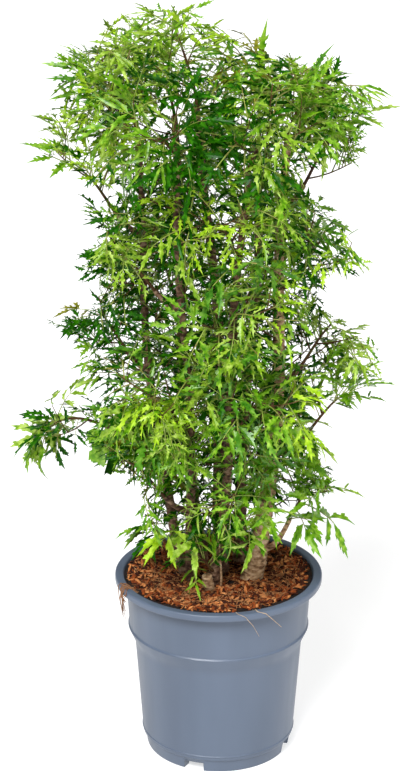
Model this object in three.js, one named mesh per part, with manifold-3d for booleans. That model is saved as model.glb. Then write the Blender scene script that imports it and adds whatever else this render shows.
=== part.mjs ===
// A potted ming aralia: a clump of upright woody stems in a plastic nursery pot, with side boughs
// and masses of deeply cut leaves. Millimetres, +Z up. The pot stands on z = 0, and the plant's
// bounding box is centred on the origin. Seen from the front, +X is to the right and +Y to the back.
import * as THREE from "three";
import { mergeVertices } from "three/addons/utils/BufferGeometryUtils.js";
import Module from "manifold-3d";

// The pot's axis stands here, because the crown leans to the left and a little to the back.
const POT_AXIS = [21.5, -3.2];

// Pot: heights are above the floor and radii are outside ones, unless the name says otherwise.
const POT_RADIUS = 105;
const POT_HEIGHT = 190;
const POT_SIDES = 32;
const WALL = 1.8;
const LIP_DEPTH = 7;
const LIP_ROUND = 1;
const COLLAR_TOP_RADIUS = 94;
const MOUTH_RADIUS = 96.5;
const MOUTH_DEPTH = 12;
const COLLAR_FOOT = { radius: 90.8, height: 134 };
const BODY_TOP = { radius: 85.2, height: 118 };
const BODY_FOOT = { radius: 77.8, height: 15 };
const FOOT_OUTER_RADIUS = 73.4;
const FOOT_INNER_RADIUS = 63;
const FLOOR_UNDERSIDE = 9;
const FLOOR_TOP = 11;
const FOOT_COUNT = 4;
const FOOT_GAP_WIDTH = 20;
const FIRST_GAP_BEARING = -110;

// Potting mix: a plug that fills the pot, level where the stems stand.
const SOIL_HEIGHT = 184;
const SOIL_EDGE_HEIGHT = 182;
const SOIL_LEVEL_RADIUS = 62;

// Pieces that touch on the real plant keep this much apart.
const CLEARANCE = 0.3;

// Stems: foot and top are [x, y] from the pot's axis, height is that of the top above the floor,
// foot and tip radius are the stem's own, and lean is the power that spreads the lean up the stem.
const STEM_SIDES = 8;
const STEM_STEPS = 7;
const STEM_SWAY = 6;
const ROOT_FLARE = 0.25;
const ROOT_FLARE_HEIGHT = 0.06;
const STEMS = {
  right: { foot: [31, -8], top: [64, -6], height: 640, footRadius: 8.6, tipRadius: 3.4, lean: 0.5 },
  front: { foot: [-7, -22], top: [26, -64], height: 622, footRadius: 5.2, tipRadius: 2.8, lean: 0.8 },
  left: { foot: [-30, 6], top: [-78, 6], height: 640, footRadius: 5, tipRadius: 2.8, lean: 0.5 },
  backLeft: { foot: [-17, 34], top: [-44, 66], height: 645, footRadius: 6, tipRadius: 3, lean: 0.7 },
  backRight: { foot: [21, 30], top: [38, 68], height: 640, footRadius: 6, tipRadius: 3, lean: 0.7 },
  centre: { foot: [3, 7], top: [-22, 2], height: 668, footRadius: 6.6, tipRadius: 3.2, lean: 1.6 },
  frontLeft: { foot: [-27, -14], top: [-40, -60], height: 625, footRadius: 4.8, tipRadius: 2.7, lean: 0.8 },
};

// Limbs: each leaves a stem at a height (at), or grows on from its top, and runs in one curve to its
// tip [x, y, z]. arch lifts the middle of that curve. The first share of it is a bare bough, and the
// rest is the twig of a leaf mass. leaf is the length of the mass's longest leaves.
const TOP = null;
const LIMBS = {
  crown_apex: { stem: "centre", at: TOP, tip: [-42, -6, 744], arch: 6, share: 0, leaf: 82 },
  crown_right: { stem: "right", at: TOP, tip: [84, -14, 684], arch: 12, share: 0, leaf: 96 },
  crown_left: { stem: "left", at: TOP, tip: [-104, -6, 682], arch: 12, share: 0, leaf: 96 },
  crown_front_right: { stem: "front", at: TOP, tip: [44, -94, 656], arch: 12, share: 0, leaf: 96 },
  crown_front_left: { stem: "frontLeft", at: TOP, tip: [-58, -92, 660], arch: 12, share: 0, leaf: 96 },
  crown_back_left: { stem: "backLeft", at: TOP, tip: [-62, 92, 684], arch: 12, share: 0, leaf: 96 },
  crown_back_right: { stem: "backRight", at: TOP, tip: [50, 94, 684], arch: 12, share: 0, leaf: 96 },

  high_right: { stem: "right", at: 576, tip: [106, 8, 634], arch: 12, share: 0.4, leaf: 94 },
  high_left: { stem: "left", at: 545, tip: [-130, -6, 608], arch: 8, share: 0.45, leaf: 90 },
  high_front: { stem: "front", at: 545, tip: [-4, -114, 586], arch: 14, share: 0, leaf: 94 },
  high_back: { stem: "backLeft", at: 540, tip: [-8, 120, 592], arch: 14, share: 0, leaf: 94 },

  upper_right: { stem: "right", at: 496, tip: [100, -36, 552], arch: 10, share: 0.4, leaf: 90 },
  upper_left: { stem: "frontLeft", at: 485, tip: [-98, -42, 542], arch: 10, share: 0.4, leaf: 86 },
  upper_front: { stem: "front", at: 450, tip: [12, -114, 500], arch: 14, share: 0, leaf: 90 },
  upper_back_left: { stem: "backLeft", at: 452, tip: [-64, 106, 506], arch: 14, share: 0, leaf: 90 },
  upper_back_right: { stem: "backRight", at: 458, tip: [58, 108, 510], arch: 14, share: 0, leaf: 90 },

  middle_right: { stem: "right", at: 396, tip: [110, 6, 452], arch: 6, share: 0.4, leaf: 90 },
  middle_left: { stem: "left", at: 408, tip: [-118, 8, 464], arch: 8, share: 0.42, leaf: 88 },
  middle_front_left: { stem: "frontLeft", at: 362, tip: [-60, -104, 416], arch: 14, share: 0, leaf: 90 },
  middle_front_right: { stem: "front", at: 366, tip: [42, -116, 414], arch: 14, share: 0, leaf: 90 },
  middle_back: { stem: "backLeft", at: 366, tip: [-6, 124, 416], arch: 14, share: 0, leaf: 90 },

  lower_far_right: { stem: "right", at: 322, tip: [120, -8, 382], arch: 6, share: 0.45, leaf: 82 },
  lower_far_left: { stem: "left", at: 328, tip: [-172, -6, 344], arch: 46, share: 0.5, leaf: 78 },
  lower_right: { stem: "right", at: 220, tip: [94, -18, 288], arch: 24, share: 0.5, leaf: 76 },
  lower_left: { stem: "frontLeft", at: 268, tip: [-88, -48, 328], arch: 10, share: 0.4, leaf: 80 },
  lower_front: { stem: "front", at: 276, tip: [14, -108, 318], arch: 14, share: 0, leaf: 86 },
  lower_back_left: { stem: "backLeft", at: 276, tip: [-64, 98, 328], arch: 14, share: 0, leaf: 88 },
  lower_back_right: { stem: "backRight", at: 282, tip: [66, 94, 334], arch: 14, share: 0, leaf: 88 },

  basal_left: { stem: "left", at: 214, tip: [-66, 2, 236], arch: 4, share: 0, leaf: 56 },
  basal_front: { stem: "front", at: 204, tip: [-18, -50, 226], arch: 6, share: 0, leaf: 70 },
};
const BOUGH_SIDES = 6;
const BOUGH_STEPS = 5;
const BOUGH_RADIUS = { foot: 3.2, tip: 2.2 };
const TWIG_SIDES = 3;
const TWIG_STEPS = 3;
const TWIG_RADIUS = { foot: 2, tip: 1.1 };
const FIRST_STRETCH = 0.25;
const CREST_SHARE = 0.65;

// Leaf masses: side twigs stand round the mass's twig, and leaves stand round the outer part of each.
const SIDE_TWIGS = 3;
const SIDE_TWIG_LENGTH = 34;
const SIDE_TWIG_ANGLE = THREE.MathUtils.degToRad(58);
const SIDE_TWIG_RADIUS = { foot: 1.6, tip: 1 };
const LEAVES_PER_TWIG = 3;
const LEAVES_AT_TIP = 4;
const BARE_TWIG = 0.4;
const LAST_LEAF = 0.96;
const LEAF_ANGLE = THREE.MathUtils.degToRad(52);
const SHORTEST_LEAF = 0.45;
const LEAF_SINK = 0.3;
const LEAF_ROOT_VOLUME = 9;
const GOLDEN_ANGLE = THREE.MathUtils.degToRad(137.508);
const TRIES = 60;

// Room for leaves: the distance from the planes between masses, the share of a mass's leaf length
// within which they keep to its middle, and the distances from the pot and the limbs.
const SPACE_MARGIN = 0.6;
const SPACE_REACH = 0.92;
const LOWEST_LEAF = POT_HEIGHT + 2;
const LIMB_MARGIN = 1.5;
const EDGE_STEPS = 6;
const TEST_RINGS = [0, 0.3, 0.6];

// The crown's outline as x and height on the upright plane through the pot's axis, as seen by an eye
// in front of the plant and above it, clockwise from the top. The sky shows in its bays, between sprays.
const EYE = [-18.8, -2000, 1118];
const OUTLINE = [
  [-33, 768], [15, 748], [39, 746], [46, 726], [75, 720], [117, 718], [122, 700], [168, 682],
  [156, 656], [140, 622], [121, 610], [80, 594], [109, 574], [131, 554], [152, 516], [147, 504],
  [107, 497], [95, 478], [108, 466], [142, 454], [175, 404], [168, 384], [140, 364], [95, 354],
  [106, 328], [129, 284], [108, 266], [113, 228], [80, 194], [-60, 194], [-98, 230], [-80, 262],
  [-86, 286], [-112, 304], [-150, 340], [-168, 320], [-196, 286], [-217, 316], [-206, 348], [-184, 372],
  [-138, 398], [-153, 438], [-179, 460], [-156, 468], [-118, 474], [-120, 490], [-149, 508], [-141, 526],
  [-117, 540], [-140, 558], [-130, 584], [-138, 606], [-193, 624], [-180, 652], [-161, 676], [-166, 703],
  [-153, 729], [-113, 751], [-66, 765],
];

// One leaf, for a length of 1 along x: half of its lobed outline between the stalk and the tip.
const LEAF_HALF_OUTLINE = [
  [0.38, 0.35],
  [0.5, 0.1],
  [0.74, 0.32],
];
const LEAF_MIDDLE = 0.46;
const LEAF_THICKNESS = 0.028;
const LEAF_STALK_THICKNESS = 0.012;
const LEAF_DROOP = 0.42;
const LOBE_DROOP = 0.3;

const wasm = await Module();
wasm.setup();

// Turns a closed geometry into a solid that can be joined and cut.
function toSolid(geometry) {
  const bare = geometry.clone();
  bare.deleteAttribute("normal");
  bare.deleteAttribute("uv");
  const merged = mergeVertices(bare, 1e-3);
  return new wasm.Manifold(
    new wasm.Mesh({
      numProp: 3,
      vertProperties: merged.attributes.position.array,
      triVerts: new Uint32Array(merged.index.array),
    }),
  );
}

function toGeometry(solid) {
  const mesh = solid.getMesh();
  return new THREE.BufferGeometry()
    .setAttribute("position", new THREE.BufferAttribute(mesh.vertProperties, 3))
    .setIndex(new THREE.BufferAttribute(mesh.triVerts, 1));
}

function meshGeometry(points, triangles) {
  return new THREE.BufferGeometry().setFromPoints(points).setIndex(triangles);
}

// A generator of the same numbers from 0 to 1 for the same seed, by the Park-Miller rule.
function seededRandom(seed) {
  const multiplier = 16807;
  const modulus = 2147483647;
  let state = (seed * 7919 + 104729) % modulus;
  return () => {
    state = (state * multiplier) % modulus;
    return state / modulus;
  };
}

// A closed tube through rings that all have the same number of points.
function skinRings(rings) {
  const sides = rings[0].length;
  const triangles = [];
  for (let r = 0; r + 1 < rings.length; r++) {
    for (let s = 0; s < sides; s++) {
      const a = r * sides + s;
      const b = r * sides + ((s + 1) % sides);
      triangles.push(a, b, b + sides, a, b + sides, a + sides);
    }
  }
  const last = (rings.length - 1) * sides;
  for (let s = 1; s + 1 < sides; s++) {
    triangles.push(0, s + 1, s);
    triangles.push(last, last + s, last + s + 1);
  }
  return meshGeometry(rings.flat(), triangles);
}

// Places along a curve from one share of it to another, each with its direction.
function stationsAlong(curve, from, to, steps) {
  return Array.from({ length: steps + 1 }, (_, i) => {
    const t = THREE.MathUtils.lerp(from, to, i / steps);
    return { centre: curve.getPoint(t), along: curve.getTangent(t) };
  });
}

// The place at a share of the way through a limb's stations, on the straight line between two of them.
function stationAt(stations, share) {
  const steps = stations.length - 1;
  const i = Math.min(Math.floor(share * steps), steps - 1);
  const start = stations[i].centre;
  const end = stations[i + 1].centre;
  return {
    centre: start.clone().lerp(end, share * steps - i),
    along: end.clone().sub(start).normalize(),
  };
}

// A closed tapering limb through its stations.
function limbGeometry(stations, radius, sides) {
  const across = new THREE.Vector3(0.3, 1, 0.2);
  const rings = stations.map(({ centre, along }, i) => {
    across.addScaledVector(along, -across.dot(along)).normalize();
    const up = along.clone().cross(across);
    const r = THREE.MathUtils.lerp(radius.foot, radius.tip, i / (stations.length - 1));
    return Array.from({ length: sides }, (_, s) => {
      const angle = (2 * Math.PI * s) / sides;
      const reach = across.clone().multiplyScalar(r * Math.cos(angle));
      return reach.addScaledVector(up, r * Math.sin(angle)).add(centre);
    });
  });
  return skinRings(rings);
}

// The straight stretches of a limb, each with its thicker radius, for testing what comes near it.
function limbStretches(stations, radius) {
  const steps = stations.length - 1;
  return Array.from({ length: steps }, (_, i) => ({
    line: new THREE.Line3(stations[i].centre, stations[i + 1].centre),
    radius: THREE.MathUtils.lerp(radius.foot, radius.tip, i / steps),
  }));
}

// Pot and potting mix

function latheAboutZ(profile) {
  const points = profile.map(([radius, height]) => new THREE.Vector2(radius, height));
  return new THREE.LatheGeometry(points, POT_SIDES).rotateX(Math.PI / 2);
}

function potProfile() {
  const lipFoot = POT_HEIGHT - LIP_DEPTH;
  return [
    [0, FLOOR_UNDERSIDE],
    [FOOT_INNER_RADIUS, FLOOR_UNDERSIDE],
    [FOOT_INNER_RADIUS, 0],
    [FOOT_OUTER_RADIUS, 0],
    [BODY_FOOT.radius - 2.4, BODY_FOOT.height - 2],
    [BODY_FOOT.radius, BODY_FOOT.height],
    [BODY_TOP.radius, BODY_TOP.height],
    [COLLAR_FOOT.radius, COLLAR_FOOT.height],
    [COLLAR_TOP_RADIUS, lipFoot],
    [POT_RADIUS - LIP_ROUND, lipFoot],
    [POT_RADIUS, lipFoot + LIP_ROUND],
    [POT_RADIUS, POT_HEIGHT - LIP_ROUND],
    [POT_RADIUS - LIP_ROUND, POT_HEIGHT],
    [MOUTH_RADIUS + LIP_ROUND, POT_HEIGHT],
    [MOUTH_RADIUS, POT_HEIGHT - LIP_ROUND],
    ...innerWall(0),
    [0, FLOOR_TOP],
  ];
}

// The pot's inside from under the flared mouth down to the floor, drawn in by a gap.
function innerWall(gap) {
  const inset = WALL + gap;
  return [
    [COLLAR_TOP_RADIUS - inset, POT_HEIGHT - MOUTH_DEPTH],
    [COLLAR_FOOT.radius - inset, COLLAR_FOOT.height],
    [BODY_TOP.radius - inset, BODY_TOP.height],
    [BODY_FOOT.radius - inset, FLOOR_TOP + gap],
  ];
}

function potGeometry() {
  let pot = toSolid(latheAboutZ(potProfile()));
  const footWidth = FOOT_OUTER_RADIUS - FOOT_INNER_RADIUS;
  for (let i = 0; i < FOOT_COUNT; i++) {
    const bearing = THREE.MathUtils.degToRad(FIRST_GAP_BEARING + (360 * i) / FOOT_COUNT);
    const gap = new THREE.BoxGeometry(4 * footWidth, FOOT_GAP_WIDTH, 2 * FLOOR_UNDERSIDE);
    gap.translate(FOOT_INNER_RADIUS + footWidth, 0, 0).rotateZ(bearing);
    pot = pot.subtract(toSolid(gap));
  }
  return toGeometry(pot);
}

function soilGeometry() {
  const wall = innerWall(CLEARANCE).reverse();
  return latheAboutZ([
    [0, FLOOR_TOP + CLEARANCE],
    ...wall,
    [COLLAR_TOP_RADIUS - WALL, SOIL_EDGE_HEIGHT],
    [SOIL_LEVEL_RADIUS, SOIL_HEIGHT],
    [0, SOIL_HEIGHT],
  ]);
}

// Stems

class StemCurve extends THREE.Curve {
  constructor(stem, index) {
    super();
    this.stem = stem;
    this.phase = index;
    this.footHeight = SOIL_HEIGHT + CLEARANCE;
  }

  getPoint(t, target = new THREE.Vector3()) {
    const { foot, top, height, lean } = this.stem;
    const share = t ** lean;
    const sway = STEM_SWAY * Math.sin(Math.PI * t);
    return target.set(
      THREE.MathUtils.lerp(foot[0], top[0], share) + sway * Math.sin(5 * t + this.phase),
      THREE.MathUtils.lerp(foot[1], top[1], share) + sway * Math.cos(4 * t + this.phase),
      THREE.MathUtils.lerp(this.footHeight, height, t),
    );
  }

  radiusAt(t) {
    const { footRadius, tipRadius } = this.stem;
    const flare = 1 + ROOT_FLARE * Math.exp(-t / ROOT_FLARE_HEIGHT);
    return THREE.MathUtils.lerp(footRadius, tipRadius, t) * flare;
  }
}

// Rings close together at the flared foot and further apart above.
function stemShares() {
  const first = [0, ROOT_FLARE_HEIGHT / 2, ROOT_FLARE_HEIGHT];
  const rest = Array.from({ length: STEM_STEPS }, (_, i) =>
    THREE.MathUtils.lerp(2.5 * ROOT_FLARE_HEIGHT, 1, i / (STEM_STEPS - 1)),
  );
  return [...first, ...rest];
}

// A stem's rings lie level, so it has a flat cut at the foot and the top.
function stemGeometry(curve) {
  return skinRings(
    stemShares().map((t) => {
      const centre = curve.getPoint(t);
      const radius = curve.radiusAt(t);
      return Array.from({ length: STEM_SIDES }, (_, s) => {
        const angle = (2 * Math.PI * s) / STEM_SIDES;
        const reach = new THREE.Vector3(Math.cos(angle), Math.sin(angle), 0);
        return reach.multiplyScalar(radius).add(centre);
      });
    }),
  );
}

function stemStretches(curve) {
  const shares = stemShares();
  return shares.slice(1).map((t, i) => ({
    line: new THREE.Line3(curve.getPoint(shares[i]), curve.getPoint(t)),
    radius: curve.radiusAt(shares[i]),
    endRadius: curve.radiusAt(t),
  }));
}

// Limbs

// The curve of a limb: straight out of that flat of the stem's side which faces its tip, or up from
// the stem's top, and then over to the tip.
function limbCurve(limb, stemCurve) {
  const tip = new THREE.Vector3(...limb.tip);
  const start = new THREE.Vector3();
  const outward = new THREE.Vector3();
  if (limb.at === TOP) {
    outward.set(0, 0, 1);
    start.copy(stemCurve.getPoint(1)).addScaledVector(outward, CLEARANCE);
  } else {
    const stretch = stemStretches(stemCurve).find(({ line }) => line.end.z > limb.at);
    const along = stretch.line.delta(new THREE.Vector3());
    const share = (limb.at - stretch.line.start.z) / along.z;
    stretch.line.at(share, start);
    const radius = THREE.MathUtils.lerp(stretch.radius, stretch.endRadius, share);
    const flat = (2 * Math.PI) / STEM_SIDES;
    const bearing = Math.atan2(tip.y - start.y, tip.x - start.x);
    const facing = (Math.floor(bearing / flat) + 0.5) * flat;
    const level = new THREE.Vector3(Math.cos(facing), Math.sin(facing), 0);
    outward.set(-level.y, level.x, 0).cross(along).normalize();
    const flatDistance = radius * Math.cos(flat / 2) * level.dot(outward);
    start.addScaledVector(outward, flatDistance + CLEARANCE);
  }
  const bend = start.clone().addScaledVector(outward, FIRST_STRETCH * start.distanceTo(tip));
  const crest = start.clone().lerp(tip, CREST_SHARE);
  crest.z += limb.arch;
  return new THREE.CubicBezierCurve3(start, bend, crest, tip);
}

// Leaf masses

// A leaf is thickest in its middle and thins to its edge, with a stout stalk end.
function leafGeometry(length) {
  const right = LEAF_HALF_OUTLINE.map(([x, y]) => [x, -y]);
  const left = LEAF_HALF_OUTLINE.toReversed();
  const edge = [...right, [1, 0], ...left];
  const drop = (x, y) => -LEAF_DROOP * x * x - LOBE_DROOP * Math.abs(y) * x;
  const ridge = (x, thickness) =>
    [0.5, -0.5].map((side) => new THREE.Vector3(x, 0, drop(x, 0) + side * thickness));
  const points = [
    ...edge.map(([x, y]) => new THREE.Vector3(x, y, drop(x, y))),
    ...ridge(0, LEAF_STALK_THICKNESS),
    ...ridge(LEAF_MIDDLE, LEAF_THICKNESS),
  ];
  const last = edge.length - 1;
  const [stalkTop, stalkUnder, middleTop, middleUnder] = [1, 2, 3, 4].map((k) => last + k);
  const triangles = [stalkTop, stalkUnder, 0, stalkUnder, stalkTop, last];
  const rimTop = [stalkTop, ...edge.keys(), stalkTop];
  const rimUnder = [stalkUnder, ...edge.keys(), stalkUnder];
  for (let i = 0; i + 1 < rimTop.length; i++) {
    triangles.push(rimTop[i], rimTop[i + 1], middleTop);
    triangles.push(rimUnder[i + 1], rimUnder[i], middleUnder);
  }
  return meshGeometry(points, triangles).scale(length, length, length);
}

// Points round a leaf's edge and on rings drawn in from it towards its middle, close enough that no
// limb slips between them.
function leafTestPoints(geometry) {
  const corners = LEAF_HALF_OUTLINE.length * 2 + 2;
  const corner = (i) => new THREE.Vector3().fromBufferAttribute(geometry.attributes.position, i);
  const middle = corner(corners + 1);
  return Array.from({ length: corners * EDGE_STEPS }, (_, k) => {
    const i = Math.floor(k / EDGE_STEPS);
    const edge = corner(i).lerp(corner((i + 1) % corners), (k % EDGE_STEPS) / EDGE_STEPS);
    return TEST_RINGS.map((share) => edge.clone().lerp(middle, share));
  }).flat();
}

// A direction at an angle to an axis, turned about it by roll.
function directionOff(axis, angle, roll) {
  const level = new THREE.Vector3(0.2, 0.1, 1).cross(axis).normalize();
  return axis.clone().applyAxisAngle(level, angle).applyAxisAngle(axis, roll).normalize();
}

// A leaf grows from a point in a direction, with its upper face turned to the sky.
function placedLeaf(root, direction, length) {
  const side = new THREE.Vector3(0, 0, 1).cross(direction).normalize();
  const face = direction.clone().cross(side);
  const turn = new THREE.Matrix4().makeBasis(direction, side, face).setPosition(root);
  return leafGeometry(length).applyMatrix4(turn);
}

// Whether a point, as the eye sees it, is inside the crown's outline: a line from it to the right then
// crosses the outline an odd number of times.
function isInOutline(point) {
  const share = EYE[1] / (EYE[1] - point.y);
  const x = THREE.MathUtils.lerp(EYE[0], point.x, share);
  const z = THREE.MathUtils.lerp(EYE[2], point.z, share);
  const crossings = OUTLINE.filter(([ax, az], i) => {
    const [bx, bz] = OUTLINE[(i + 1) % OUTLINE.length];
    return az > z !== bz > z && x < ax + ((z - az) * (bx - ax)) / (bz - az);
  });
  return crossings.length % 2 === 1;
}

class Crown {
  constructor(limbs, stretches) {
    this.stretches = stretches;
    this.middles = limbs.map(({ curve, share }) => curve.getPoint(THREE.MathUtils.lerp(share, 1, 0.6)));
    this.reaches = limbs.map(({ leaf }) => leaf * SPACE_REACH);
  }

  // Whether all points are above the pot, within reach of the mass's middle, inside the crown's outline,
  // on the mass's own side of the planes halfway to the others, and clear of every limb but its own twig.
  hasRoomFor(points, index) {
    return this.isInSpace(points, index) && this.isClearOfLimbs(points, index);
  }

  isInSpace(points, index) {
    const own = this.middles[index];
    if (points.some((p) => p.z < LOWEST_LEAF || p.distanceTo(own) > this.reaches[index])) return false;
    if (!points.every(isInOutline)) return false;
    return this.middles.every((other, i) => {
      if (i === index) return true;
      const across = other.clone().sub(own);
      const limit = across.length() / 2 - SPACE_MARGIN;
      across.normalize();
      return points.every((p) => p.clone().sub(own).dot(across) < limit);
    });
  }

  isClearOfLimbs(points, index) {
    const near = new THREE.Vector3();
    return this.stretches.every(({ line, radius, mass }) => {
      if (mass === index) return true;
      const limit = radius + LIMB_MARGIN;
      return points.every((p) => line.closestPointToPoint(p, true, near).distanceTo(p) > limit);
    });
  }
}

// The twigs of a mass: its own twig first, then its straight side twigs.
function massTwigs(limb, index, crown, random) {
  const twigs = [{ stations: limb.twig, radius: TWIG_RADIUS, leafCount: LEAVES_AT_TIP }];
  for (let k = 0; k < SIDE_TWIGS; k++) {
    const { centre, along } = stationAt(limb.twig, (k + 1) / (SIDE_TWIGS + 1));
    const roll = k * GOLDEN_ANGLE + random();
    const length = SIDE_TWIG_LENGTH * THREE.MathUtils.lerp(0.8, 1.2, random());
    const direction = directionOff(along, SIDE_TWIG_ANGLE, roll);
    const side = new THREE.LineCurve3(centre, centre.clone().addScaledVector(direction, length));
    const test = side.getPoints(EDGE_STEPS).slice(2);
    if (!crown.hasRoomFor(test, index)) continue;
    const stations = stationsAlong(side, 0, 1, 1);
    twigs.push({ stations, radius: SIDE_TWIG_RADIUS, leafCount: LEAVES_PER_TWIG });
  }
  return twigs;
}

// One more leaf at a place on a twig, the longest of a few tries that has room among the crown, the
// mass's own twigs and the leaves before it, or null.
function nextLeaf({ centre, along }, k, angle, limb, index, crown, twigs, leaves, random) {
  for (let attempt = 0; attempt < TRIES; attempt++) {
    const roll = (k + attempt) * GOLDEN_ANGLE + random();
    const length = limb.leaf * THREE.MathUtils.lerp(1, SHORTEST_LEAF, attempt / TRIES);
    const direction = directionOff(along, angle, roll);
    const root = centre.clone().addScaledVector(direction, -LEAF_SINK);
    const geometry = placedLeaf(root, direction, length);
    if (!crown.hasRoomFor(leafTestPoints(geometry), index)) continue;
    const leaf = toSolid(geometry);
    if (twigs.intersect(leaf).volume() > LEAF_ROOT_VOLUME) continue;
    if (leaves.every((other) => other.intersect(leaf).isEmpty())) return leaf;
  }
  return null;
}

function massGeometry(limb, index, crown) {
  const random = seededRandom(index + 1);
  const twigs = massTwigs(limb, index, crown, random);
  const wood = twigs
    .map(({ stations, radius }) => toSolid(limbGeometry(stations, radius, TWIG_SIDES)))
    .reduce((joined, twig) => joined.add(twig));
  const leaves = [];
  for (const { stations, leafCount } of twigs) {
    for (let k = 0; k < leafCount; k++) {
      const share = (k + 1) / leafCount;
      const place = stationAt(stations, THREE.MathUtils.lerp(BARE_TWIG, LAST_LEAF, share));
      const angle = share === 1 ? LEAF_ANGLE / 3 : LEAF_ANGLE;
      const leaf = nextLeaf(place, k, angle, limb, index, crown, wood, leaves, random);
      if (leaf) leaves.push(leaf);
    }
  }
  const mass = leaves.reduce((joined, leaf) => joined.add(leaf), wood);
  const bodies = mass.decompose().sort((a, b) => b.volume() - a.volume());
  return toGeometry(bodies[0]);
}

// The plant

const materials = {
  pot: { color: 0x76859b, roughness: 0.45, metalness: 0 },
  soil: { color: 0x6b3f22, roughness: 0.95, metalness: 0 },
  bark: { color: 0x8a6a4c, roughness: 0.85, metalness: 0 },
  leaf: { color: 0x3f8f1f, roughness: 0.5, metalness: 0 },
};

function namedMesh(name, geometry, material) {
  const mesh = new THREE.Mesh(geometry, new THREE.MeshStandardMaterial(materials[material]));
  mesh.name = name;
  return mesh;
}

function makePlant() {
  const plant = new THREE.Group();
  plant.add(namedMesh("pot", potGeometry(), "pot"));
  plant.add(namedMesh("soil", soilGeometry(), "soil"));

  const stemCurves = {};
  const stretches = [];
  Object.entries(STEMS).forEach(([name, stem], index) => {
    const curve = new StemCurve(stem, index);
    stemCurves[name] = curve;
    stretches.push(...stemStretches(curve));
    plant.add(namedMesh(`stem_${name}`, stemGeometry(curve), "bark"));
  });

  const limbs = Object.entries(LIMBS).map(([name, limb]) => {
    const curve = limbCurve(limb, stemCurves[limb.stem]);
    const start = limb.share === 0 ? 0 : limb.share + CLEARANCE / curve.getLength();
    return { name, ...limb, curve, twig: stationsAlong(curve, start, 1, TWIG_STEPS) };
  });
  limbs.forEach(({ name, curve, share, twig }, mass) => {
    if (share > 0) {
      const stations = stationsAlong(curve, 0, share, BOUGH_STEPS);
      stretches.push(...limbStretches(stations, BOUGH_RADIUS));
      plant.add(namedMesh(`bough_${name}`, limbGeometry(stations, BOUGH_RADIUS, BOUGH_SIDES), "bark"));
    }
    limbStretches(twig, TWIG_RADIUS).forEach((stretch) => stretches.push({ ...stretch, mass }));
  });

  const crown = new Crown(limbs, stretches);
  limbs.forEach((limb, index) => {
    plant.add(namedMesh(`leaves_${limb.name}`, massGeometry(limb, index, crown), "leaf"));
  });

  plant.position.set(...POT_AXIS, 0);
  const part = new THREE.Group();
  part.add(plant);
  return part;
}

export default makePlant();
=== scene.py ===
import math

import bpy
import numpy as np
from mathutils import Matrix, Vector


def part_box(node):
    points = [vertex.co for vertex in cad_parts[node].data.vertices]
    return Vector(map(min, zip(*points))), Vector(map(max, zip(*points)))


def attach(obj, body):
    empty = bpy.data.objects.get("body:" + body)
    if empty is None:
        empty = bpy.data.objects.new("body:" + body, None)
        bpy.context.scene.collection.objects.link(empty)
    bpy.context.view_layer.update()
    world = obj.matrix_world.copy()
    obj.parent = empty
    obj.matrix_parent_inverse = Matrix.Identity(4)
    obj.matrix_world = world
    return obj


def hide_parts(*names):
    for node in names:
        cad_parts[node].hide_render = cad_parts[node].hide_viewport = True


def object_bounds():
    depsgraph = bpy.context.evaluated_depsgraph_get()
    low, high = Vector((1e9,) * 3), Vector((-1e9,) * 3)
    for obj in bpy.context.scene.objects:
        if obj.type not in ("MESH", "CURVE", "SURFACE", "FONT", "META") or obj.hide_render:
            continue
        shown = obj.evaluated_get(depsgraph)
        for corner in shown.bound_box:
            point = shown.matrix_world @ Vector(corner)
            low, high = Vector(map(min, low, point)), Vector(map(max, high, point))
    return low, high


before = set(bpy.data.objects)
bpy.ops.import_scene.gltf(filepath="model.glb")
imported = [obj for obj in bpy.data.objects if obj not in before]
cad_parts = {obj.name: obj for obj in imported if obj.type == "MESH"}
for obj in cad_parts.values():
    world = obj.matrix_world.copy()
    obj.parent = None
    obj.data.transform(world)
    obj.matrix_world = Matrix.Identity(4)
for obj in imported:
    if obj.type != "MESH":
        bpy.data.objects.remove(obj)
cad_low, cad_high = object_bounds()

# Places are in millimetres from the pot's axis at floor level, +X to the right and +Y to the back.
# Pieces are made in metres, in the frame's own place.
MM = 0.001
pot_low, pot_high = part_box("pot")
POT_AXIS = np.array([(pot_low.x + pot_high.x) / 2, (pot_low.y + pot_high.y) / 2, 0.0])

# Pot: outside radii and heights above the floor, in pairs where both are told, and the gaps in its foot.
POT_RADIUS = 105
POT_HEIGHT = 190
POT_STEPS = 160
WALL = 1.8
LIP_FOOT = 183
MOUTH_RADIUS = 96.5
MOUTH_DEPTH = 12
COLLAR_TOP_RADIUS = 94
COLLAR_FOOT = (90.8, 134)
COLLAR_BEAD = 1.4
BODY_TOP = (85.2, 118)
BODY_FOOT = (77.8, 15)
FOOT_STEP = (2.4, 2)
RIDGE_HEIGHT = 19
RIDGE_PROUD = 0.6
FOOT_RADII = (63, 73.4)
FLOOR_UNDERSIDE = 9
FOOT_COUNT = 4
FOOT_GAP_WIDTH = 20
FIRST_GAP_BEARING = math.radians(-110)
GAP_EDGE = 0.008

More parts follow.
